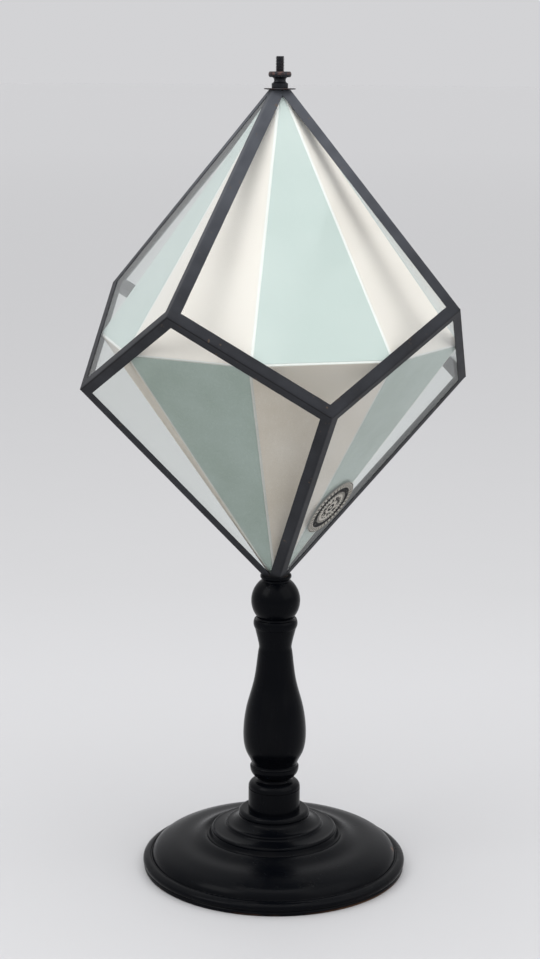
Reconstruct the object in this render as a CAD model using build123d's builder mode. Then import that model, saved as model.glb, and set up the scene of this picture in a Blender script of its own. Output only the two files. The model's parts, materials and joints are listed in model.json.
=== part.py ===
from build123d import *
import os
from math import acos, atan2, cos, hypot, pi, sin, sqrt, tan

os.makedirs("parts", exist_ok=True)

# A glass crystal model on a turned stand. Eight kite panes, taped along their sixteen edges,
# enclose a sixteen-faced card pyramid pair, and the whole crystal turns on a threaded rod.
# The axis is Z, and the stand rests on Z = 0.

# ---- crystal: a trapezohedron of eight kites, measured over the tape
apex_height = 181.3         # centre to the point where four slanting edges would meet
waist_radius = 140.6        # axis to each of the eight waist corners
apex_trim = 9.5             # cut off each apex square to the axis
glass_t = 1.6
pane_gap = 0.1              # between the inner corners of neighbouring panes
tape_t = 0.35
tape_width = 15.0           # folded lengthwise over an edge
tape_gap = 0.5              # between a slanting tape's end and the waist tapes
card_t = 0.8
paper_t = 0.3
card_gap = 0.15             # paper to glass
card_clear = 0.3            # card's open end to the plug
green_margin = 1.6          # card left showing around a green paper
cream_margin = 0.7
plug_h = 4.6                # wooden plug that centres each apex on the rod
plug_gap = 0.1
label_radius = 23.0
label_t = 0.2
label_across = -3.0         # label's centre on its pane, sideways and towards the apex
label_along = 73.5

# ---- clamp at the top
rod_radius = 3.0            # outside its thread
rod_exposed = 10.3          # free end above the knob
rod_depth = 45.0            # screwed into the column
running_gap = 0.05          # radial, between the rod and what turns on it
washer_radius = 10.85
washer_t = 0.7
washer_gap = 0.3            # radial, around the rod
knob_flange_radius = 7.9
knob_flange_t = 3.8
knob_drum_radius = 5.65
knob_waist_radius = 4.0
knob_h = 11.6
thread_pitch = 1.0          # a full turn of the knob lifts it this far
thread_travel = knob_h + rod_exposed   # takes it off the rod's end

# ---- foot
foot_radius = 96.5
foot_h = 43.5               # top of the collar that the column stands on
collar_radius = 26.0
rim_h = 9.4
recess_radius = 70.0        # hollow underneath, so that the foot stands on its rim
recess_depth = 4.0

# ---- column
tenon_radius = 9.0
tenon_h = 25.0
tenon_gap = 0.05
drum_radius = 18.9
belly_radius = 22.9
waist_turn_radius = 12.2
ball_radius = 17.6
cup_radius = 11.3
cup_wall = 0.7
cup_depth = 1.5             # crystal's flat tip below the rim
seat_t = 0.5                # leather ring that the tip turns on

# ---- fixing under the foot
screw_radius = 2.0
screw_head_radius = 4.0
screw_head_h = 2.0
screw_bite = 12.0           # thread inside the tenon
fixing_washer_radius = 8.0
fixing_washer_t = 1.0

# ---- heights up the column, each measured from the foot's collar
drum_h = 16.0               # straight side of the drum
drum_top = 21.9
ring_low = 25.6
ring_top = 33.1
belly_z = 61.0
waist_z = 121.3
neck_top = 138.0
collar_ring_top = 144.8
ball_low = 147.1
ball_z = 160.5
ball_top = 172.9
cup_low = 174.7
cup_rim = 177.7

# ---- worked out
rim_z = foot_h + cup_rim
tip_z = rim_z - cup_depth
centre_z = tip_z - apex_trim + apex_height
crown_z = centre_z + apex_height - apex_trim
washer_top = crown_z + washer_t
knob_top = washer_top + knob_h
rod_top = knob_top + rod_exposed
rod_bottom = tip_z - seat_t - rod_depth

corner_rise = apex_height * (3 - 2 * sqrt(2))       # waist corners above or below the centre
slope_length = hypot(apex_height + corner_rise, waist_radius)
normal_out = (apex_height + corner_rise) / slope_length
normal_up = waist_radius / slope_length
form_reach = apex_height * normal_up                # centre to the plane of each pane

# A kite's corners on its own plane, from the foot of the perpendicular, +Y towards the apex
apex_v = apex_height * normal_out
side_u = waist_radius * sin(pi / 4)
side_v = apex_v - slope_length * cos(pi / 4)
far_v = apex_v - slope_length
apex_half_angle = atan2(side_u, apex_v - side_v)
far_half_angle = atan2(side_u, side_v - far_v)
inradius = slope_length / (1 / sin(apex_half_angle) + 1 / sin(far_half_angle))
incentre_v = apex_v - inradius / sin(apex_half_angle)

# Square-edged panes stand back from the fold, so that only their inner corners come together.
# The waist folds are the sharpest, so their turn from pane to pane sets the inset all round.
waist_turn = acos(normal_out**2 * cos(pi / 4) - normal_up**2)
pane_inset = glass_t * tan(waist_turn / 2) + pane_gap

pane_depth = tape_t
paper_depth = tape_t + glass_t + card_gap
card_depth = paper_depth + paper_t


def face_plane(azimuth, side, depth):
    """Plane of a face at an azimuth in degrees, side 1 above the waist or -1 below, sunk by depth."""
    out_x = cos(azimuth * pi / 180)
    out_y = sin(azimuth * pi / 180)
    normal = Vector(normal_out * out_x, normal_out * out_y, side * normal_up)
    to_apex = Vector(-normal_up * out_x, -normal_up * out_y, side * normal_out)
    centre = Vector(0, 0, centre_z)
    return Plane(origin=centre + normal * (form_reach - depth), x_dir=to_apex.cross(normal), z_dir=normal)


def trimmed_at(side):
    """Plane of the flat that cuts off an apex, facing away from the crystal."""
    if side > 0:
        return Plane.XY.offset(crown_z)
    return Plane(origin=(0, 0, tip_z), z_dir=(0, 0, -1))


def kite(depth, inset):
    """Corners of a kite sunk by depth, apex first and then round by +X, its edges moved in by inset."""
    reach = 1 - depth / form_reach
    shrink = 1 - inset / (inradius * reach)
    corners = [(0, apex_v), (side_u, side_v), (0, far_v), (-side_u, side_v)]
    return [(reach * u * shrink, reach * (incentre_v + (v - incentre_v) * shrink)) for u, v in corners]


def slanting_half(hand):
    """Half of a slanting tape on one pane, along the kite's long edge on side hand."""
    apex, right = kite(0, 0)[:2]
    apex_in, right_in = kite(0, tape_width / 2)[:2]
    back_u = tape_gap * sin(apex_half_angle)
    back_v = tape_gap * cos(apex_half_angle)
    corner = (right[0] - back_u, right[1] + back_v)
    corner_in = (right_in[0] - back_u, right_in[1] + back_v)
    outline = [apex, corner, corner_in, apex_in]
    return [(hand * u, v) for u, v in outline]


def waist_half(hand):
    """Half of a waist tape on one pane, along the kite's short edge on side hand."""
    right, far = kite(0, 0)[1:3]
    right_in, far_in = kite(0, tape_width / 2)[1:3]
    outline = [right, far, far_in, right_in]
    return [(hand * u, v) for u, v in outline]


def apothem_at(z, depth):
    """Distance from the axis to a face sunk by depth, at a height within the crystal."""
    return (form_reach - depth - abs(z - centre_z) * normal_up) / normal_out


def save(part, name):
    part.label = name
    export_step(part, f"parts/{name}.step")


quarters = [1, 2, 3, 4]

# Panes: the upper four face the diagonals, the lower four face X and Y
for number in quarters:
    for side, place, azimuth in [(1, "upper", 90 * number - 45), (-1, "lower", 90 * number - 90)]:
        plane = face_plane(azimuth, side, pane_depth)
        with BuildPart() as pane:
            with BuildSketch(plane):
                Polygon(*kite(pane_depth, pane_inset), align=None)
            extrude(amount=glass_t, dir=-plane.z_dir)
            split(bisect_by=trimmed_at(side), keep=Keep.BOTTOM)
        save(pane.part, f"pane_{place}_{number}")


def build_tape(name, halves, side=None):
    """A folded strip: one flat half on each of two panes, given as (azimuth, side, outline)."""
    with BuildPart() as tape:
        for azimuth, half_side, outline in halves:
            plane = face_plane(azimuth, half_side, 0)
            with BuildSketch(plane):
                Polygon(*outline, align=None)
            extrude(amount=tape_t, dir=-plane.z_dir)
        if side is not None:
            split(bisect_by=trimmed_at(side), keep=Keep.BOTTOM)
    save(tape.part, name)


# Slanting tapes: the upper ones end at waist corners on X and Y, the lower ones on the diagonals
for number in quarters:
    corner = 90 * number - 90
    build_tape(
        f"tape_upper_{number}",
        [(corner - 45, 1, slanting_half(1)), (corner + 45, 1, slanting_half(-1))],
        side=1,
    )
    corner = 90 * number - 45
    build_tape(
        f"tape_lower_{number}",
        [(corner - 45, -1, slanting_half(-1)), (corner + 45, -1, slanting_half(1))],
        side=-1,
    )

# Waist tapes: two from each high corner, one to the low corner on either side of it
for number in quarters:
    high = 90 * number - 90
    for hand, place in [(1, "left"), (-1, "right")]:
        halves = [(high + 45 * hand, 1, waist_half(-hand)), (high, -1, waist_half(-hand))]
        build_tape(f"tape_waist_{place}_{number}", halves)

# Card: two eight-sided pyramid shells that meet at the waist, open around the rod
card_high = crown_z - plug_h - card_clear
card_low = tip_z + plug_h + card_clear
for side, place, end_z in [(1, "upper", card_high), (-1, "lower", card_low)]:
    with BuildPart() as card:
        for depth, mode in [(card_depth, Mode.ADD), (card_depth + card_t, Mode.SUBTRACT)]:
            with BuildSketch(Plane.XY.offset(centre_z)):
                RegularPolygon(apothem_at(centre_z, depth), 8, major_radius=False, rotation=22.5)
            with BuildSketch(Plane.XY.offset(end_z)):
                RegularPolygon(apothem_at(end_z, depth), 8, major_radius=False, rotation=22.5)
            loft(mode=mode)
    save(card.part, f"card_{place}")

# Papers: on each card pyramid a green one behind every pane, and a cream one between
waist_v = -form_reach * normal_up / normal_out
half_base = apothem_at(centre_z, 0) * tan(pi / 8)
facet = [(0, apex_v), (half_base, waist_v), (-half_base, waist_v)]
paper_scale = (form_reach - paper_depth) / form_reach
paper_outline = [(u * paper_scale, v * paper_scale) for u, v in facet]
for number in quarters:
    for side, place, green_azimuth in [(1, "upper", 90 * number - 45), (-1, "lower", 90 * number - 90)]:
        for colour, azimuth, margin in [
            ("green", green_azimuth, green_margin),
            ("cream", green_azimuth + 45, cream_margin),
        ]:
            plane = face_plane(azimuth, side, paper_depth)
            end_z = card_high if side > 0 else card_low
            with BuildPart() as paper:
                with BuildSketch(plane):
                    Polygon(*paper_outline, align=None)
                    offset(amount=-margin, kind=Kind.INTERSECTION)
                extrude(amount=paper_t, dir=-plane.z_dir)
                split(bisect_by=Plane(origin=(0, 0, end_z), z_dir=(0, 0, side)), keep=Keep.BOTTOM)
            save(paper.part, f"paper_{colour}_{place}_{number}")

# Plugs: square, tapering with the panes, bored to turn on the rod
plug_depth = tape_t + glass_t + plug_gap
for side, place, flat_z, turn in [(1, "upper", crown_z, 0), (-1, "lower", tip_z, 45)]:
    inner_z = flat_z - side * plug_h
    with BuildPart() as plug:
        for z in (flat_z, inner_z):
            with BuildSketch(Plane.XY.offset(z)):
                RegularPolygon(apothem_at(z, plug_depth), 4, major_radius=False, rotation=turn)
        loft()
        with BuildSketch(Plane.XY.offset(min(flat_z, inner_z))):
            Circle(rod_radius + running_gap)
        extrude(amount=plug_h, mode=Mode.SUBTRACT)
    save(plug.part, f"plug_{place}")

# Label: a plain round paper on the lower pane that faces +X
with BuildPart() as label:
    with BuildSketch(face_plane(0, -1, pane_depth)):
        with Locations((label_across, label_along)):
            Circle(label_radius)
    extrude(amount=label_t)
save(label.part, "round_label")

# Foot: a turned disc with a rolled rim, a dome, two beads and a collar
with BuildPart() as foot:
    with BuildSketch(Plane.XZ):
        with BuildLine():
            land = foot_radius - 1.3
            Line((0, 0), (land, 0))
            ThreePointArc((land, 0), (foot_radius - 0.6, 1.6), (land, 3.2))
            ThreePointArc((land, 3.2), (foot_radius, 5.8), (foot_radius - 1.5, 8.2))
            ThreePointArc(
                (foot_radius - 1.5, 8.2),
                (foot_radius - 3.2, rim_h - 0.2),
                (foot_radius - 5.3, rim_h),
            )
            ThreePointArc(
                (foot_radius - 5.3, rim_h),
                (foot_radius - 6.3, rim_h - 0.7),
                (foot_radius - 6.8, rim_h),
            )
            Spline(
                (foot_radius - 6.8, rim_h),
                (foot_radius - 10.9, rim_h + 5.9),
                (foot_radius - 16.5, rim_h + 8.8),
                (foot_radius - 26.0, rim_h + 11.5),
                (foot_radius - 38.0, rim_h + 13.4),
                (foot_radius - 46.5, rim_h + 15.5),
                (foot_radius - 50.2, rim_h + 18.0),
                tangents=[(-0.3, 1), (-0.3, 1)],
            )
            bead_r = foot_radius - 50.9
            bead_z = rim_h + 18.0
            Line((foot_radius - 50.2, bead_z), (bead_r, bead_z + 0.2))
            ThreePointArc((bead_r, bead_z + 0.2), (bead_r - 0.3, bead_z + 1.7), (bead_r - 2.0, bead_z + 2.2))
            Spline(
                (bead_r - 2.0, bead_z + 2.2),
                (bead_r - 6.5, bead_z + 2.8),
                (bead_r - 10.2, bead_z + 4.6),
                tangents=[(-1, -0.15), (-0.3, 1)],
            )
            fillet_r = bead_r - 10.6
            fillet_z = bead_z + 4.8
            Line((bead_r - 10.2, bead_z + 4.6), (fillet_r, fillet_z))
            ThreePointArc(
                (fillet_r, fillet_z),
                (fillet_r - 0.3, fillet_z + 1.1),
                (fillet_r - 1.4, fillet_z + 1.5),
            )
            Spline(
                (fillet_r - 1.4, fillet_z + 1.5),
                (collar_radius + 1.8, foot_h - 7.4),
                (collar_radius - 0.4, foot_h - 4.2),
                tangents=[(-1, 0), (0.1, 1)],
            )
            ThreePointArc(
                (collar_radius - 0.4, foot_h - 4.2),
                (collar_radius - 0.4, foot_h - 1.3),
                (collar_radius - 2.6, foot_h),
            )
            Line((collar_radius - 2.6, foot_h), (0, foot_h))
            Line((0, foot_h), (0, 0))
        make_face()
    revolve(axis=Axis.Z)
    with BuildSketch(Plane.XY):
        Circle(recess_radius)
    extrude(amount=recess_depth, mode=Mode.SUBTRACT)
    with Locations((0, 0, foot_h)):
        CounterBoreHole(
            radius=screw_radius + tenon_gap,
            counter_bore_radius=tenon_radius + tenon_gap,
            counter_bore_depth=tenon_h + 1.0,
        )
save(foot.part, "foot")

# Column: a turned baluster with a tenon below and a cup for the crystal's tip above
with BuildPart() as column:
    with BuildSketch(Plane.XZ):
        with BuildLine():
            base = foot_h
            Polyline(
                (0, base - tenon_h),
                (tenon_radius, base - tenon_h),
                (tenon_radius, base),
                (drum_radius, base),
            )
            Line((drum_radius, base), (drum_radius, base + drum_h))
            ThreePointArc(
                (drum_radius, base + drum_h),
                (drum_radius - 0.6, base + drum_h + 0.4),
                (drum_radius, base + drum_h + 0.8),
            )
            ThreePointArc(
                (drum_radius, base + drum_h + 0.8),
                (drum_radius - 1.0, base + drum_h + 4.0),
                (drum_radius - 4.6, base + drum_top),
            )
            ThreePointArc(
                (drum_radius - 4.6, base + drum_top),
                (drum_radius - 6.3, base + (drum_top + ring_low) / 2),
                (drum_radius - 4.4, base + ring_low),
            )
            ThreePointArc(
                (drum_radius - 4.4, base + ring_low),
                (drum_radius - 1.7, base + ring_low + 3.6),
                (drum_radius - 1.1, base + ring_top),
            )
            ThreePointArc(
                (drum_radius - 1.1, base + ring_top),
                (drum_radius - 2.4, base + ring_top + 1.2),
                (drum_radius - 2.1, base + ring_top + 2.9),
            )
            Spline(
                (drum_radius - 2.1, base + ring_top + 2.9),
                (belly_radius - 2.6, base + belly_z - 17.7),
                (belly_radius, base + belly_z),
                (belly_radius - 3.0, base + belly_z + 20.5),
                (waist_turn_radius + 2.9, base + waist_z - 21.5),
                (waist_turn_radius, base + waist_z),
                (waist_turn_radius + 2.7, base + neck_top),
                tangents=[(0.3, 1), (0.25, 1)],
            )
            ring_r = waist_turn_radius + 3.0
            Line((waist_turn_radius + 2.7, base + neck_top), (ring_r, base + neck_top + 0.3))
            ThreePointArc(
                (ring_r, base + neck_top + 0.3),
                (ring_r + 0.8, base + (neck_top + collar_ring_top) / 2),
                (ring_r, base + collar_ring_top),
            )
            ThreePointArc(
                (ring_r, base + collar_ring_top),
                (ring_r - 1.9, base + collar_ring_top + 1.2),
                (ring_r - 1.2, base + ball_low),
            )
            ThreePointArc(
                (ring_r - 1.2, base + ball_low),
                (ball_radius, base + ball_z),
                (cup_radius - 0.2, base + ball_top),
            )
            ThreePointArc(
                (cup_radius - 0.2, base + ball_top),
                (cup_radius - 1.2, base + ball_top + 0.9),
                (cup_radius - 0.9, base + cup_low),
            )
            ThreePointArc(
                (cup_radius - 0.9, base + cup_low),
                (cup_radius, base + cup_low + 1.7),
                (cup_radius - 0.3, base + cup_rim),
            )
            Polyline(
                (cup_radius - 0.3, base + cup_rim),
                (cup_radius - cup_wall, base + cup_rim),
                (cup_radius - cup_wall - 1.2, tip_z - seat_t),
                (0, tip_z - seat_t),
                (0, base - tenon_h),
            )
        make_face()
    revolve(axis=Axis.Z)
    with BuildSketch(Plane.XY.offset(rod_bottom - 1.0)):
        Circle(rod_radius)
    extrude(until=Until.LAST, mode=Mode.SUBTRACT)
    with BuildSketch(Plane.XY.offset(foot_h - tenon_h)):
        Circle(screw_radius + tenon_gap)
    extrude(amount=screw_bite + 1.0, mode=Mode.SUBTRACT)
save(column.part, "column")

# Seat: a leather ring in the cup, under the crystal's flat tip
with BuildPart() as seat:
    with BuildSketch(Plane.XY.offset(tip_z - seat_t)):
        Circle(cup_radius - cup_wall - 1.6)
        Circle(rod_radius + washer_gap, mode=Mode.SUBTRACT)
    extrude(amount=seat_t)
save(seat.part, "seat_ring")

# Rod: from the column, through the crystal, to its free end above the knob
with BuildPart() as rod:
    with BuildSketch(Plane.XY.offset(rod_bottom)):
        Circle(rod_radius)
    extrude(amount=rod_top - rod_bottom)
    chamfer(rod.edges().group_by(Axis.Z)[-1], length=0.4)
save(rod.part, "rod")

# Clamp washer on the crystal's flat crown
with BuildPart() as washer:
    with BuildSketch(Plane.XY.offset(crown_z)):
        Circle(washer_radius)
        Circle(rod_radius + washer_gap, mode=Mode.SUBTRACT)
    extrude(amount=washer_t)
save(washer.part, "clamp_washer")

# Knob: a turned nut, drum below, waist, finger flange above
with BuildPart() as knob:
    with BuildSketch(Plane.XZ):
        with BuildLine():
            bore = rod_radius + running_gap
            drum_z = washer_top + 3.7
            flange_z = washer_top + knob_h - knob_flange_t
            Line((bore, washer_top), (knob_drum_radius - 0.4, washer_top))
            Line((knob_drum_radius - 0.4, washer_top), (knob_drum_radius, washer_top + 0.9))
            Line((knob_drum_radius, washer_top + 0.9), (knob_drum_radius, drum_z))
            ThreePointArc(
                (knob_drum_radius, drum_z),
                (knob_waist_radius, (drum_z + flange_z) / 2),
                (knob_waist_radius + 1.6, flange_z),
            )
            Line((knob_waist_radius + 1.6, flange_z), (knob_flange_radius - 0.8, flange_z))
            ThreePointArc(
                (knob_flange_radius - 0.8, flange_z),
                (knob_flange_radius, knob_top - knob_flange_t / 2),
                (knob_flange_radius - 0.8, knob_top),
            )
            Line((knob_flange_radius - 0.8, knob_top), (bore, knob_top))
            Line((bore, knob_top), (bore, washer_top))
        make_face()
    revolve(axis=Axis.Z)
save(knob.part, "knob_nut")

# Screw and washer that hold the column's tenon in the foot
with BuildPart() as fixing_washer:
    with BuildSketch(Plane.XY.offset(recess_depth - fixing_washer_t)):
        Circle(fixing_washer_radius)
        Circle(screw_radius + tenon_gap, mode=Mode.SUBTRACT)
    extrude(amount=fixing_washer_t)
save(fixing_washer.part, "fixing_washer")

with BuildPart() as screw:
    head_top = recess_depth - fixing_washer_t
    with BuildSketch(Plane.XY.offset(head_top - screw_head_h)):
        Circle(screw_head_radius)
    extrude(amount=screw_head_h)
    chamfer(screw.edges().group_by(Axis.Z)[0], length=0.7)
    with BuildSketch(Plane.XY.offset(head_top)):
        Circle(screw_radius)
    extrude(amount=foot_h - tenon_h + screw_bite - head_top)
save(screw.part, "fixing_screw")

print(f"centre {centre_z:.2f}, crown {crown_z:.2f}, knob top {knob_top:.2f}, rod top {rod_top:.2f}")
print(f"knob rises {thread_travel:.1f} in {thread_travel / thread_pitch:.1f} turns")
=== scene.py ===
import bpy
import bmesh
import json
import math
from mathutils import Matrix, Vector, noise


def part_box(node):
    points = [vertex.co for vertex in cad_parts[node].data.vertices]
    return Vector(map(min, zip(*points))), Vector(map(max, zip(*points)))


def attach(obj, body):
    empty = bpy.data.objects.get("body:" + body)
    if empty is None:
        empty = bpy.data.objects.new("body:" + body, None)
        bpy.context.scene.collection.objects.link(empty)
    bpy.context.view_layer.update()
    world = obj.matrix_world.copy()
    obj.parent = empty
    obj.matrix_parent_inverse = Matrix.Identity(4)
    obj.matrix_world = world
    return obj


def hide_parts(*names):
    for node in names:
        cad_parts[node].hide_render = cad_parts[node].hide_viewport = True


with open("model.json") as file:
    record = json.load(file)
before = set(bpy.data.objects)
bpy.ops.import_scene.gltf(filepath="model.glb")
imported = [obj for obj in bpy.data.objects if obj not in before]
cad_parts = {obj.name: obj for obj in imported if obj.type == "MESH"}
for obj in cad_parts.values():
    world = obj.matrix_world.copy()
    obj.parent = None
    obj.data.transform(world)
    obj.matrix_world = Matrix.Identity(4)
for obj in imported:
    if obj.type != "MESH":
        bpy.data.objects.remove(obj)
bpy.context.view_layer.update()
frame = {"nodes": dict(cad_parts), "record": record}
nodes = frame["nodes"]
print("frame loaded,", len(nodes), "nodes")


# node trees

class Wire:
    # one socket; sums on it add Math nodes to its tree
    def __init__(self, tree, socket=None):
        self.tree = tree
        self.socket = socket

    def node(self, kind, settings=None, sockets=None, out=0):
        n = self.tree.nodes.new(kind)
        for name, value in (settings or {}).items():
            setattr(n, name, value)
        for name, value in (sockets or {}).items():
            target = n.inputs[name]
            if isinstance(value, Wire):
                self.tree.links.new(value.socket, target)
            else:
                target.default_value = value
        return Wire(self.tree, n.outputs[out])

    def maths(self, operation, *values):
        return self.node("ShaderNodeMath", {"operation": operation}, dict(enumerate(values)))

    def __add__(self, other): return self.maths("ADD", self, other)
    def __radd__(self, other): return self.maths("ADD", other, self)
    def __sub__(self, other): return self.maths("SUBTRACT", self, other)
    def __rsub__(self, other): return self.maths("SUBTRACT", other, self)
    def __mul__(self, other): return self.maths("MULTIPLY", self, other)
    def __rmul__(self, other): return self.maths("MULTIPLY", other, self)
    def __truediv__(self, other): return self.maths("DIVIDE", self, other)

    def clamp(self):
        return self.maths("MINIMUM", self.maths("MAXIMUM", self, 0.0), 1.0)

    def above(self, edge, soft):
        # 0 below edge, 1 above it, over a width of soft
        return ((self - edge) / soft + 0.5).clamp()

    def mix(self, factor, first, second):
        n = self.tree.nodes.new("ShaderNodeMix")
        n.data_type = "RGBA"
        for at, value in [(0, factor), (6, first), (7, second)]:
            if isinstance(value, Wire):
                self.tree.links.new(value.socket, n.inputs[at])
            else:
                n.inputs[at].default_value = value if at == 0 else (*value, 1)
        return Wire(self.tree, n.outputs[2])

    def parts(self):
        n = self.tree.nodes.new("ShaderNodeSeparateXYZ")
        self.tree.links.new(self.socket, n.inputs[0])
        return [Wire(self.tree, n.outputs[i]) for i in range(3)]


def newMaterial(name):
    material = bpy.data.materials.new(name)
    material.use_nodes = True
    tree = material.node_tree
    tree.nodes.clear()
    start = Wire(tree)
    place = start.node("ShaderNodeTexCoord", out=3)
    return material, start, place


def finishMaterial(start, shader):
    out = start.tree.nodes.new("ShaderNodeOutputMaterial")
    start.tree.links.new(shader.socket, out.inputs[0])


def speckle(start, place, scale, detail=3.0, stretch=(1, 1, 1)):
    where = start.node("ShaderNodeMapping", {}, {"Vector": place, "Scale": stretch})
    return start.node("ShaderNodeTexNoise", {}, {"Vector": where, "Scale": scale, "Detail": detail})


def bump(start, height, distance, strength=1.0):
    return start.node("ShaderNodeBump", {}, {"Height": height, "Distance": distance, "Strength": strength})


# the crystal's form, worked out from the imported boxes

form = {"apexTrim": 0.0095, "paperDepth": 0.0021, "paper": 0.0003, "cardEnd": 0.0049}
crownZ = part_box("plug_upper")[1].z
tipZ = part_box("plug_lower")[0].z
centreZ = (crownZ + tipZ) / 2
apexHeight = (crownZ - tipZ) / 2 + form["apexTrim"]
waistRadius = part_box("tape_waist_right_1")[1].x
cornerRise = apexHeight * (3 - 2 * math.sqrt(2))
slopeLength = math.hypot(apexHeight + cornerRise, waistRadius)
normalOut = (apexHeight + cornerRise) / slopeLength
normalUp = waistRadius / slopeLength
formReach = apexHeight * normalUp
apexV = apexHeight * normalOut
sideU = waistRadius * math.sin(math.pi / 4)
sideV = apexV - slopeLength * math.cos(math.pi / 4)
farV = apexV - slopeLength
apexSine = math.sin(math.atan2(sideU, apexV - sideV))
farSine = math.sin(math.atan2(sideU, sideV - farV))
inradius = slopeLength / (1 / apexSine + 1 / farSine)
incentreV = apexV - inradius / apexSine
print(f"crystal centre {centreZ:.4f}, waist {waistRadius:.4f}, apex {apexHeight:.4f}")


class Face:
    # a face of the form at an azimuth in degrees, side 1 above the waist or -1 below
    def __init__(self, azimuth, side):
        x, y = math.cos(math.radians(azimuth)), math.sin(math.radians(azimuth))
        self.side = side
        self.normal = Vector((normalOut * x, normalOut * y, side * normalUp))
        self.up = Vector((-normalUp * x, -normalUp * y, side * normalOut))
        self.across = self.up.cross(self.normal)

    def at(self, u, v, depth=0.0):
        return Vector((0, 0, centreZ)) + self.normal * (formReach - depth) + self.across * u + self.up * v


def kiteCorners(inset):
    shrink = 1 - inset / inradius
    corners = [(0, apexV), (sideU, sideV), (0, farV), (-sideU, sideV)]
    return [(u * shrink, incentreV + (v - incentreV) * shrink) for u, v in corners]


def slab(name, outer, inner, uv=None):
    # a closed sheet from two matching grids of points
    rows, columns = len(outer), len(outer[0])
    mesh = bmesh.new()
    layer = mesh.loops.layers.uv.new("clothUV")
    top = [[mesh.verts.new(p) for p in row] for row in outer]
    low = [[mesh.verts.new(p) for p in row] for row in inner]
    index = {}
    for grid in (top, low):
        for i, row in enumerate(grid):
            for j, vertex in enumerate(row):
                index[vertex] = (i, j)
    for i in range(rows - 1):
        for j in range(columns - 1):
            mesh.faces.new([top[i][j], top[i][j + 1], top[i + 1][j + 1], top[i + 1][j]])
            mesh.faces.new([low[i][j], low[i + 1][j], low[i + 1][j + 1], low[i][j + 1]])
    edge = [(0, j) for j in range(columns)] + [(i, columns - 1) for i in range(1, rows)]
    edge += [(rows - 1, j) for j in range(columns - 2, -1, -1)] + [(i, 0) for i in range(rows - 2, 0, -1)]
    for (i, j), (k, m) in zip(edge, edge[1:] + edge[:1]):
        mesh.faces.new([top[i][j], low[i][j], low[k][m], top[k][m]])
    for face in mesh.faces:
        face.smooth = True
        for loop in face.loops:
            i, j = index[loop.vert]
            loop[layer].uv = uv[i][j] if uv else (i / rows, j / columns)
    bmesh.ops.recalc_face_normals(mesh, faces=mesh.faces)
    data = bpy.data.meshes.new(name)
    mesh.to_mesh(data)
    mesh.free()
    piece = bpy.data.objects.new(name, data)
    bpy.context.scene.collection.objects.link(piece)
    data.set_sharp_from_angle(angle=math.radians(40))
    return piece


# camera

camera = {"distance": 1.40958, "height": 0.593225, "turn": 30.4826, "yaw": -0.00337, "pitch": 0.21139,
          "roll": 0.00738, "lens": 76.008, "sensor": 36}
spin = Matrix.Rotation(math.radians(camera["turn"]), 3, "Z")
yaw, pitch, roll = camera["yaw"], camera["pitch"], camera["roll"]
forward = Vector((math.sin(yaw) * math.cos(pitch), math.cos(yaw) * math.cos(pitch), -math.sin(pitch)))
right = Vector((math.cos(yaw), -math.sin(yaw), 0))
upward = right.cross(forward)
rightRolled = spin @ (math.cos(roll) * right + math.sin(roll) * upward)
upRolled = spin @ (-math.sin(roll) * right + math.cos(roll) * upward)
forward = spin @ forward
lensData = bpy.data.cameras.new("viewCamera")
lensData.lens = camera["lens"]
lensData.sensor_width = camera["sensor"]
viewCamera = bpy.data.objects.new("viewCamera", lensData)
bpy.context.scene.collection.objects.link(viewCamera)
turned = Matrix((rightRolled, upRolled, -forward)).transposed().to_4x4()
eye = spin @ Vector((0, -camera["distance"], camera["height"]))
viewCamera.matrix_world = Matrix.Translation(eye) @ turned
bpy.context.scene.camera = viewCamera
print("camera set")


# floor and light

stage = {"floor": (0.535, 0.535, 0.545), "far": (0.515, 0.515, 0.522), "distant": (0.575, 0.575, 0.583),
         "grain": (0.6, 0.6, 0.61), "edgeBehind": 0.62, "edgeSoft": 0.34, "distantFrom": 6.0,
         "distantSoft": 9.0, "rings": (0.5, 2.0, 30.0), "sides": 96}
mesh = bmesh.new()
sides = stage["sides"]
turns = [2 * math.pi * k / sides for k in range(sides)]
rings = [[mesh.verts.new((r * math.cos(turn), r * math.sin(turn), 0.0)) for turn in turns]
         for r in stage["rings"]]
mesh.faces.new(rings[0])
for low, high in zip(rings, rings[1:]):
    for k in range(sides):
        mesh.faces.new([low[k], high[k], high[(k + 1) % sides], low[(k + 1) % sides]])
for face in mesh.faces:
    face.smooth = True
data = bpy.data.meshes.new("studioSweep")
mesh.to_mesh(data)
mesh.free()
sweep = bpy.data.objects.new("studioSweep", data)
bpy.context.scene.collection.objects.link(sweep)
material, start, place = newMaterial("palePaperSweep")
x, y, z = place.parts()
away = forward.to_2d().normalized()
# the floor behind the form is painted slightly darker, as painted shade standing in for a backdrop's dimmer
# light
behind = (x * away.x + y * away.y).above(stage["edgeBehind"], stage["edgeSoft"])
grain = speckle(start, place, 9.0, 4.0)
tone = start.mix(behind, stage["floor"], stage["far"])
distance = start.maths("SQRT", x * x + y * y)
tone = start.mix(distance.above(stage["distantFrom"], stage["distantSoft"]), tone, stage["distant"])
tone = start.mix(grain * 0.08, tone, stage["grain"])
finishMaterial(start, start.node("ShaderNodeBsdfPrincipled", {}, {"Base Color": tone, "Roughness": 0.55}))
data.materials.append(material)

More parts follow.
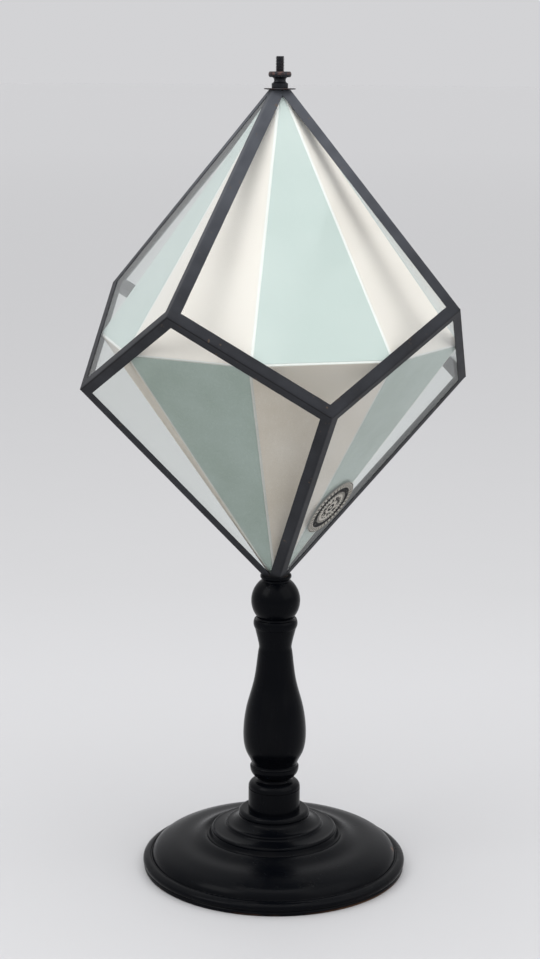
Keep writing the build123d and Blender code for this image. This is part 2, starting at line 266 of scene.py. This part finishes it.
lamps = [
    {"name": "leftSoftbox", "at": (-1.4, -0.8, 1.5), "size": 1.1, "power": 9},
    {"name": "rightSoftbox", "at": (1.5, -0.7, 1.4), "size": 1.9, "power": 9},
    {"name": "topSoftbox", "at": (0.0, -0.3, 2.3), "size": 1.6, "power": 11},
]
lampAim = 0.35
for lamp in lamps:
    light = bpy.data.lights.new(lamp["name"], "AREA")
    light.shape = "SQUARE"
    light.size = lamp["size"]
    light.energy = lamp["power"]
    holder = bpy.data.objects.new(lamp["name"], light)
    bpy.context.scene.collection.objects.link(holder)
    spot = spin @ Vector(lamp["at"])
    holder.location = spot
    holder.rotation_euler = (Vector((0, 0, lampAim)) - spot).to_track_quat("-Z", "Y").to_euler()
sky = bpy.data.worlds.new("roomLight")
sky.use_nodes = True
skyStart = Wire(sky.node_tree)
skyward = skyStart.node("ShaderNodeTexCoord", out=0).parts()[2]
skyTones = {"low": (0.65, 0.65, 0.665), "high": (1.20, 1.20, 1.21)}
skyTone = skyStart.mix(skyward.clamp().above(0.5, 0.8), skyTones["low"], skyTones["high"])
sky.node_tree.links.new(skyTone.socket, sky.node_tree.nodes["Background"].inputs[0])
bpy.context.scene.world = sky
bpy.context.scene.view_settings.view_transform = "Standard"
print("stage and lights set")


# finishes

def ebonisedWood():
    finish = {"black": (0.0013, 0.0017, 0.0028), "rubbed": (0.0038, 0.0040, 0.0048),
              "bare": (0.13, 0.062, 0.03),
              "rough": 0.25, "nick": (0.0786, 0.0416, 0.0145)}
    material, start, place = newMaterial("ebonisedWood")
    x, y, z = place.parts()
    turning = speckle(start, place, 900.0, 2.0, (0.02, 0.02, 1.0))
    grain = speckle(start, place, 60.0, 5.0, (1.0, 1.0, 0.12))
    cloud = speckle(start, place, 14.0, 4.0)
    radius = start.maths("SQRT", x * x + y * y)
    low = (0.0014 - z).above(0.0, 0.0010) * radius.above(0.090, 0.002)
    worn = low * cloud.above(0.54, 0.10) * 0.6
    nickAt = start.node("ShaderNodeVectorMath", {"operation": "DISTANCE"}, {0: place, 1: finish["nick"]},
                        out=1)
    nick = (0.0026 - nickAt).above(0.0, 0.0012) * grain.above(0.45, 0.15)
    colour = start.mix(grain.above(0.62, 0.25) * 0.6, finish["black"], finish["rubbed"])
    colour = start.mix((worn + nick).clamp(), colour, finish["bare"])
    rough = finish["rough"] + (cloud - 0.5) * 0.22 + worn * 0.3
    normal = bump(start, turning * 0.5 + grain * 0.5 - nick * 3.0, 0.00012, 0.5)
    finishMaterial(start, start.node("ShaderNodeBsdfPrincipled", {}, {
        "Base Color": colour, "Roughness": rough, "Normal": normal, "Specular IOR Level": 0.055,
        "Coat Weight": 0.012, "Coat Roughness": 0.2}))
    return material


def clothTape():
    finish = {"lit": (0.027, 0.029, 0.035), "dark": (0.009, 0.0095, 0.012), "speck": (0.13, 0.085, 0.05),
              "paintedLightOnDark": (0.040, 0.044, 0.053), "paintedLightOnLit": (0.085, 0.091, 0.105),
              "paintedCreaseShade": (0.003, 0.003, 0.004), "paintedCreaseAt": 0.0007, "paintedCreaseHalf": 0.00042, "paintedLightRise": 0.075,
              "threads": 1900.0}
    material, start, place = newMaterial("clothTape")
    uv = start.node("ShaderNodeUVMap", {"uv_map": "clothUV"})
    along, across, _ = uv.parts()
    warp = start.maths("SINE", along * (finish["threads"] * math.pi))
    weft = start.maths("SINE", across * (finish["threads"] * math.pi))
    weave = warp * weft * 0.5 + 0.5
    cloud = speckle(start, place, 45.0, 5.0)
    fine = speckle(start, place, 700.0, 3.0)
    specks = speckle(start, place, 260.0, 2.0).above(0.72, 0.04)
    worn = cloud.above(0.5, 0.42)
    colour = start.mix((weave * 0.3 + worn * 0.7).clamp(), finish["dark"], finish["lit"])
    # above the waist the tape is painted lighter, as painted light on its top-lit upper part
    height = place.parts()[2]
    paintedLightMask = (height - (centreZ + finish["paintedLightRise"])).above(0.0, 0.10)
    pale = start.mix((weave * 0.3 + worn * 0.7).clamp(), finish["paintedLightOnDark"], finish["paintedLightOnLit"])
    colour = start.mix(paintedLightMask, colour, pale)
    # a near-black line just beside the fold is painted crease shade
    paintedCreaseShade = 1 - (start.maths("ABSOLUTE", across - finish["paintedCreaseAt"])).above(finish["paintedCreaseHalf"], 0.0004)
    colour = start.mix(paintedCreaseShade * 0.85, colour, finish["paintedCreaseShade"])
    colour = start.mix(specks * 0.55, colour, finish["speck"])
    finishMaterial(start, start.node("ShaderNodeBsdfPrincipled", {}, {
        "Base Color": colour, "Roughness": 0.66 + fine * 0.2,
        "Normal": bump(start, weave + fine, 0.00006, 0.6), "Specular IOR Level": 0.22, "Sheen Weight": 0.06}))
    return material


def paneGlass():
    material, start, place = newMaterial("paneGlass")
    smudge = speckle(start, place, 16.0, 5.0).above(0.56, 0.35)
    dust = speckle(start, place, 520.0, 2.0).above(0.74, 0.05)
    gloss = start.node("ShaderNodeBsdfPrincipled", {}, {
        "Base Color": start.mix(dust, (0.9, 0.93, 0.93), (0.8, 0.8, 0.78)), "Metallic": 0.85,
        "Roughness": 0.03 + smudge * 0.10 + dust * 0.3})
    clear = start.node("ShaderNodeBsdfTransparent", {}, {"Color": (0.975, 0.985, 0.98, 1)})
    facing = start.node("ShaderNodeLayerWeight", {}, {"Blend": 0.5}, out=1)
    edgeOn = start.maths("POWER", facing, 5.0)
    share = (edgeOn * 0.75 + 0.022 + smudge * 0.012 + dust * 0.05).clamp()
    finishMaterial(start, start.node("ShaderNodeMixShader", {}, {0: share, 1: clear, 2: gloss}))
    return material


def paper(name, light, deep, fibre, rough=0.82, paintedShadeBelow=None):
    # paintedShadeBelow: a darker tone painted on the faces below the waist, as painted shade
    material, start, place = newMaterial(name)
    cloud = speckle(start, place, 22.0, 4.0)
    fibres = speckle(start, place, 900.0, 4.0, (1.0, 0.35, 0.7))
    colour = start.mix(cloud.above(0.5, 0.6), deep, light)
    colour = start.mix(fibres.above(0.6, 0.12) * 0.35, colour, fibre)
    if paintedShadeBelow:
        # below the waist the paper is painted darker, as painted shade
        height = place.parts()[2]
        shadedBelowTone = start.mix(cloud.above(0.5, 0.6) * 0.5 + fibres.above(0.6, 0.12) * 0.15, paintedShadeBelow, light)
        colour = start.mix((height - (centreZ - 0.0004)).above(0.0, 0.0004), shadedBelowTone, colour)
    finishMaterial(start, start.node("ShaderNodeBsdfPrincipled", {}, {
        "Base Color": colour, "Roughness": rough + (fibres - 0.5) * 0.1,
        "Normal": bump(start, fibres, 0.00003, 0.15)}))
    return material


def metal(name, base, stain, rough, shine, wearScale=160.0, edge=0.55, wearAbove=None):
    material, start, place = newMaterial(name)
    cloud = speckle(start, place, wearScale, 5.0)
    fine = speckle(start, place, 1500.0, 3.0)
    wear = cloud.above(edge, 0.2)
    if wearAbove:
        wear = wear * (place.parts()[2] - wearAbove).above(0.0, 0.0006)
    colour = start.mix(wear, base, stain)
    finishMaterial(start, start.node("ShaderNodeBsdfPrincipled", {}, {
        "Base Color": colour, "Metallic": shine + (cloud - 0.5) * 0.3,
        "Roughness": rough + (cloud - 0.5) * 0.3,
        "Normal": bump(start, fine + cloud, 0.00008, 0.5)}))
    return material


def labelPaper(centre, across, up):
    finish = {"paper": (0.52, 0.50, 0.45), "ink": (0.008, 0.008, 0.009), "ticks": 38, "radius": 0.023}
    material, start, place = newMaterial("labelPaper")
    offset = start.node("ShaderNodeVectorMath", {"operation": "SUBTRACT"}, {0: place, 1: centre})
    u = start.node("ShaderNodeVectorMath", {"operation": "DOT_PRODUCT"}, {0: offset, 1: across}, out=1)
    v = start.node("ShaderNodeVectorMath", {"operation": "DOT_PRODUCT"}, {0: offset, 1: up}, out=1)
    radius = start.maths("SQRT", u * u + v * v) / finish["radius"]
    angle = start.maths("ARCTAN2", u, v)

    def band(low, high):
        return radius.above(low, 0.02) * (1 - radius.above(high, 0.02))
    teeth = start.maths("SINE", angle * finish["ticks"]).above(0.1, 0.5)
    rub = speckle(start, place, 420.0, 4.0)
    ink = band(0.955, 0.985) + band(0.82, 0.93) * teeth + band(0.62, 0.80) + band(0.52, 0.62) * (1 - teeth)
    ink = (ink + band(0.24, 0.44) * rub.above(0.46, 0.1) + band(0.06, 0.15)).clamp()
    stain = speckle(start, place, 60.0, 4.0)
    colour = start.mix(stain.above(0.5, 0.4) * 0.4, finish["paper"], (0.38, 0.35, 0.29))
    colour = start.mix(ink * (1 - rub.above(0.66, 0.1) * 0.5), colour, finish["ink"])
    finishMaterial(start, start.node("ShaderNodeBsdfPrincipled", {}, {
        "Base Color": colour, "Roughness": 0.7 + (rub - 0.5) * 0.2, "Normal": bump(start, rub, 0.00004, 0.4),
        "Specular IOR Level": 0.12}))
    return material


labelMiddle = (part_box("round_label")[0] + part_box("round_label")[1]) / 2
labelFace = Face(0, -1)
looks = {
    "ebonised_wood": ebonisedWood(),
    "cloth_tape": clothTape(),
    "pane_glass": paneGlass(),
    # the last tone of the white card, green and cream papers is painted shade for their lower faces
    "white_card": paper("whiteCard", (0.86, 0.86, 0.84), (0.80, 0.80, 0.78), (0.74, 0.72, 0.68),
                        0.82, (0.50, 0.48, 0.44)),
    "green_paper": paper("greenPaper", (0.535, 0.61, 0.585), (0.485, 0.565, 0.54), (0.62, 0.68, 0.65),
                         0.82, (0.27, 0.33, 0.28)),
    "cream_paper": paper("creamPaper", (0.85, 0.785, 0.73), (0.81, 0.745, 0.69), (0.91, 0.85, 0.78),
                         0.82, (0.62, 0.53, 0.43)),
    # the plug is painted near-black, as painted shade under the washer at the crown
    "plug_wood": paper("plugWoodPaintedShade", (0.045, 0.033, 0.024), (0.03, 0.022, 0.016), (0.06, 0.042, 0.03), 0.7),
    "seat_leather": paper("seatLeather", (0.07, 0.045, 0.03), (0.04, 0.026, 0.018), (0.10, 0.07, 0.05), 0.6),
    "rod_steel": metal("rodSteel", (0.022, 0.023, 0.028), (0.036, 0.028, 0.030), 0.48, 0.55),
    "screw_steel": metal("screwSteel", (0.40, 0.39, 0.37), (0.22, 0.18, 0.14), 0.42, 0.85),
    "washer_steel": metal("washerSteel", (0.050, 0.051, 0.058), (0.050, 0.034, 0.032), 0.45, 0.6),
    "knob_metal": metal("knobMetal", (0.013, 0.014, 0.018), (0.085, 0.047, 0.042), 0.44, 0.6, 420.0, 0.50,
                        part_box("knob_nut")[1].z - 0.0022),
    "label_paper": labelPaper(labelMiddle, labelFace.across, labelFace.up),
}
slotOf = {part["node"]: part["material_slot"] for part in frame["record"]["subparts"]}
for name, node in nodes.items():
    for holder in node.material_slots:
        holder.material = looks[slotOf[name]]
print("finishes made")


def dress(piece, body, slotName, *replaced):
    piece.data.materials.clear()
    piece.data.materials.append(looks[slotName])
    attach(piece, body)
    if replaced:
        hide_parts(*replaced)
    return piece


# cloth tapes, folded over each edge of the form

# plain shifts a slanting strip's weave sideways, clear of the painted crease shade, by this many metres
tape = {"width": 0.0075, "thickness": 0.00033, "steps": 44, "halfSteps": 9, "fold": 0.00075,
        "ragged": 0.00016, "raggedScale": 26, "raggedFrom": 0.8, "leastRagged": 0.00004, "swell": 0.00005,
        "round": 0.35, "waistLift": 0.00016, "tuck": 0.0016, "plain": 1.0}


def clothStrip(name, halves, lift, seed, trimZ=None, tuck=0.0, plain=0.0):
    # trimZ cuts the strip level with the crown or the tip; tuck runs its cut end on under the waist strips
    # halves: for each side of the fold, its face and its outline, which runs
    # fold start, fold end, inner end, inner start
    length = (halves[0][0].at(*halves[0][1][1]) - halves[0][0].at(*halves[0][1][0])).length
    outer, inner, uv = [], [], []
    for i in range(tape["steps"] + 1):
        s = i / tape["steps"]
        outerRow, innerRow, uvRow = [], [], []
        for j in range(-tape["halfSteps"], tape["halfSteps"] + 1):
            face, outline = halves[0] if j < 0 else halves[1]
            q = abs(j) / tape["halfSteps"]
            edgeAt = Vector((s * tape["raggedScale"] + seed, (j > 0) * 5.0, seed))
            ragged = tape["ragged"] * noise.noise(edgeAt)
            frayed = max(0.0, q - tape["raggedFrom"]) * 5
            q = q - frayed * (abs(ragged) + tape["leastRagged"]) / tape["width"]
            foldStart, foldEnd, innerEnd, innerStart = [Vector((*p, 0)) for p in outline]
            a = foldStart.lerp(innerStart, q)
            b = foldEnd.lerp(innerEnd, q)
            b = b + (b - a).normalized() * tuck * q
            if trimZ is not None:
                aZ, bZ = face.at(a.x, a.y).z, face.at(b.x, b.y).z
                a = a.lerp(b, max(0.0, (aZ - trimZ) / (aZ - bZ)))
            spot = a.lerp(b, s)
            roundIn = tape["fold"] * tape["round"] * max(0.0, 1 - q * tape["width"] / tape["fold"]) ** 2
            rise = lift + tape["swell"] * noise.noise(Vector((s * 18, q * 3, seed + 9)))
            if j == 0:
                other = halves[0][0].normal
                out = (face.normal + other).normalized()
            else:
                out = face.normal
            base = face.at(spot.x, spot.y, 0)
            outerRow.append(base + out * (rise - roundIn))
            innerRow.append(base + out * (rise - roundIn - tape["thickness"] - lift))
            uvRow.append((s * length, plain + j * tape["width"] / tape["halfSteps"]))
        outer.append(outerRow)
        inner.append(innerRow)
        uv.append(uvRow)
    return slab(name, outer, inner, uv)


def slantingOutline(hand):
    apex, side = kiteCorners(0)[:2]
    apexIn, sideIn = kiteCorners(tape["width"])[:2]
    return [(hand * u, v) for u, v in (apex, side, sideIn, apexIn)]


def waistOutline(hand):
    side, far = kiteCorners(0)[1:3]
    sideIn, farIn = kiteCorners(tape["width"])[1:3]
    return [(hand * u, v) for u, v in (side, far, farIn, sideIn)]


for n in range(1, 5):
    for side, place, corner in [(1, "upper", 90 * n - 90), (-1, "lower", 90 * n - 45)]:
        halves = [(Face(corner - 45, side), slantingOutline(side)),
                  (Face(corner + 45, side), slantingOutline(-side))]
        levelAt = crownZ - 0.0001 if side > 0 else tipZ + 0.0001
        strip = clothStrip(f"clothStrip_{place}_{n}", halves, 0.0, n * 3.1 + side, levelAt, tape["tuck"],
                           tape["plain"])
        dress(strip, "crystal", "cloth_tape", f"tape_{place}_{n}")
    high = 90 * n - 90
    for hand, place in [(1, "left"), (-1, "right")]:
        halves = [(Face(high + 45 * hand, 1), waistOutline(-hand)), (Face(high, -1), waistOutline(-hand))]
        # on the lower face the fold runs from the far corner, so its outline is turned end for end
        first, second = halves
        a = first[0].at(*first[1][0])
        if (second[0].at(*second[1][0]) - a).length > 0.01:
            foldStart, foldEnd, innerEnd, innerStart = second[1]
            halves[1] = (second[0], [foldEnd, foldStart, innerStart, innerEnd])
        strip = clothStrip(f"clothStrip_waist_{place}_{n}", halves, tape["waistLift"], n * 7.7 + hand)
        dress(strip, "crystal", "cloth_tape", f"tape_waist_{place}_{n}")
print("cloth strips folded")


# cream papers, bowed between the green ones

bowed = {"margin": 0.0007, "bow": 0.0006, "ripple": 0.12, "rows": 40, "columns": 20}
waistV = -formReach * normalUp / normalOut
halfBase = (formReach / normalOut) * math.tan(math.pi / 8)
paperScale = (formReach - form["paperDepth"]) / formReach
halfAngle = math.atan2(halfBase, apexV - waistV)
paperTopV = apexV * paperScale - bowed["margin"] / math.sin(halfAngle)
for n in range(1, 5):
    for side, place, azimuth in [(1, "upper", 90 * n), (-1, "lower", 90 * n - 45)]:
        face = Face(azimuth, side)
        endHigh = apexHeight - form["apexTrim"] - form["cardEnd"]
        endV = (endHigh - (formReach - form["paperDepth"]) * normalUp) / normalOut
        lowV = waistV * paperScale + bowed["margin"]
        outer, inner = [], []
        for i in range(bowed["rows"] + 1):
            t = i / bowed["rows"]
            v = lowV + (endV - lowV) * t
            half = (paperTopV - v) * math.tan(halfAngle)
            outerRow, innerRow = [], []
            for j in range(bowed["columns"] + 1):
                u = 2 * j / bowed["columns"] - 1
                swell = (1 - u * u) * math.sin(math.pi * min(1.0, t * 1.05)) ** 0.8
                ripple = bowed["ripple"] * math.sin(3.2 * u + 4.0 * t + n) * (1 - u * u) * t * (1 - t) * 4
                lift = bowed["bow"] * (0.15 + 0.85 * (1 - t)) * max(0.0, swell + ripple * (1 - t))
                outerRow.append(face.at(u * half, v, form["paperDepth"] - lift))
                innerRow.append(face.at(u * half, v, form["paperDepth"] + form["paper"] * 0.9 - lift * 0.98))
            outer.append(outerRow)
            inner.append(innerRow)
        sheet = slab(f"bowedPaper_{place}_{n}", outer, inner)
        dress(sheet, "crystal", "cream_paper", f"paper_cream_{place}_{n}")
print("cream papers bowed")


# threaded rod, its thread cut by a node tree

rodLow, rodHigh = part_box("rod")
thread = {"pitch": 0.001, "depth": 0.00054, "crest": rodHigh.x, "steps": 40, "perTurn": 10,
          "run": rodHigh.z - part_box("knob_nut")[0].z}
tree = bpy.data.node_groups.new("threadedStud", "GeometryNodeTree")
tree.interface.new_socket("Geometry", in_out="OUTPUT", socket_type="NodeSocketGeometry")
sizes = {"Low": rodHigh.z - thread["run"], "Run": thread["run"], "Pitch": thread["pitch"],
         "Root": thread["crest"] - thread["depth"],
         "Crest": thread["crest"]}
for label, value in sizes.items():
    item = tree.interface.new_socket(label, in_out="INPUT", socket_type="NodeSocketFloat")
    item.default_value = value
given = tree.nodes.new("NodeGroupInput")
want = {label: Wire(tree, given.outputs[label]) for label in sizes}
build = Wire(tree)
count = int(thread["run"] / thread["pitch"] * thread["perTurn"])
grid = build.node("GeometryNodeMeshGrid", {}, {"Size X": 1.0, "Size Y": 1.0,
                                                "Vertices X": thread["steps"] + 1,
                                                "Vertices Y": count})
gx, gy, _ = build.node("GeometryNodeInputPosition").parts()
angle = (gx + 0.5) * (2 * math.pi)
height = (gy + 0.5) * want["Run"]
phase = build.maths("FRACT", height / want["Pitch"] - (gx + 0.5) + 8.0)
# flat crest an eighth of the pitch wide, flat root a quarter
ridge = ((1 - build.maths("ABSOLUTE", phase * 2 - 1)) * 1.6 - 0.4).clamp()
nearTop = ((gy + 0.5) * -1.0 + 1.0) * want["Run"] / 0.0007
radius = want["Root"] + (want["Crest"] - want["Root"]) * ridge * nearTop.clamp()
spot = build.node("ShaderNodeCombineXYZ", {}, {0: radius * build.maths("COSINE", angle),
                                               1: radius * build.maths("SINE", angle),
                                               2: height + want["Low"]})
bent = build.node("GeometryNodeSetPosition", {}, {"Geometry": grid, "Position": spot})
joined = build.node("GeometryNodeMergeByDistance", {}, {"Geometry": bent, "Distance": 0.000002})
real = build.node("GeometryNodeRealizeInstances", {}, {"Geometry": joined})
painted = build.node("GeometryNodeSetMaterial", {}, {"Geometry": real, "Material": looks["rod_steel"]})
end = tree.nodes.new("NodeGroupOutput")
tree.links.new(painted.socket, end.inputs[0])
studMaker = bpy.data.objects.new("studMaker", bpy.data.meshes.new("studMaker"))
bpy.context.scene.collection.objects.link(studMaker)
modifier = studMaker.modifiers.new("thread", "NODES")
modifier.node_group = tree
for item in tree.interface.items_tree:
    if item.in_out == "INPUT":
        modifier[item.identifier] = sizes[item.name]
bpy.context.view_layer.update()
data = bpy.data.meshes.new_from_object(studMaker.evaluated_get(bpy.context.evaluated_depsgraph_get()))
bpy.data.objects.remove(studMaker)
mesh = bmesh.new()
mesh.from_mesh(data)
# the plain shank below the thread, and the two ends closed
openEdges = [e for e in mesh.edges if e.is_boundary]
bottomLoop = [e for e in openEdges if e.verts[0].co.z < rodHigh.z - thread["run"] / 2]
made = bmesh.ops.extrude_edge_only(mesh, edges=bottomLoop)
fresh = [v for v in made["geom"] if isinstance(v, bmesh.types.BMVert)]
for vertex in fresh:
    flat = vertex.co.to_2d().normalized() * thread["crest"]
    vertex.co = Vector((flat.x, flat.y, rodHigh.z - thread["run"] - 0.0002))
lowEdges = [e for e in made["geom"] if isinstance(e, bmesh.types.BMEdge) and e.is_boundary]
made = bmesh.ops.extrude_edge_only(mesh, edges=lowEdges)
for vertex in [v for v in made["geom"] if isinstance(v, bmesh.types.BMVert)]:
    vertex.co.z = rodLow.z
bmesh.ops.holes_fill(mesh, edges=[e for e in mesh.edges if e.is_boundary])
bmesh.ops.recalc_face_normals(mesh, faces=mesh.faces)
for face in mesh.faces:
    face.smooth = True
mesh.to_mesh(data)
mesh.free()
data.set_sharp_from_angle(angle=math.radians(50))
stud = bpy.data.objects.new("threadedStud", data)
bpy.context.scene.collection.objects.link(stud)
dress(stud, "stand", "rod_steel", "rod")
print("thread cut,", len(data.polygons), "faces")


# clamp washer, a little bent at its edge

washerLow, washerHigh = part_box("clamp_washer")
bent = {"inner": thread["crest"] + 0.0003, "outer": washerHigh.x, "thickness": washerHigh.z - washerLow.z,
        "bend": 0.0007, "from": 0.0062}
outer, inner = [], []
for i in range(97):
    angle = 2 * math.pi * i / 96
    topRow, lowRow = [], []
    for j in range(13):
        r = bent["inner"] + (bent["outer"] - bent["inner"]) * j / 12
        curl = max(0.0, (r - bent["from"]) / (bent["outer"] - bent["from"])) ** 1.6
        rise = bent["bend"] * curl * (0.5 + 0.5 * math.sin(angle + 2.6))
        spot = Vector((r * math.cos(angle), r * math.sin(angle), washerLow.z + rise))
        topRow.append(spot + Vector((0, 0, bent["thickness"] - 0.00002)))
        lowRow.append(spot)
    outer.append(topRow)
    inner.append(lowRow)
disc = slab("bentWasher", outer, inner)
mesh = bmesh.new()
mesh.from_mesh(disc.data)
bmesh.ops.remove_doubles(mesh, verts=mesh.verts, dist=0.000001)
seam = {}
for face in mesh.faces:
    seam.setdefault(frozenset(v.index for v in face.verts), []).append(face)
doubled = [face for group in seam.values() if len(group) > 1 for face in group]
bmesh.ops.delete(mesh, geom=doubled, context="FACES_ONLY")
bmesh.ops.recalc_face_normals(mesh, faces=mesh.faces)
mesh.to_mesh(disc.data)
mesh.free()
dress(disc, "washer", "washer_steel", "clamp_washer")
print("washer bent")
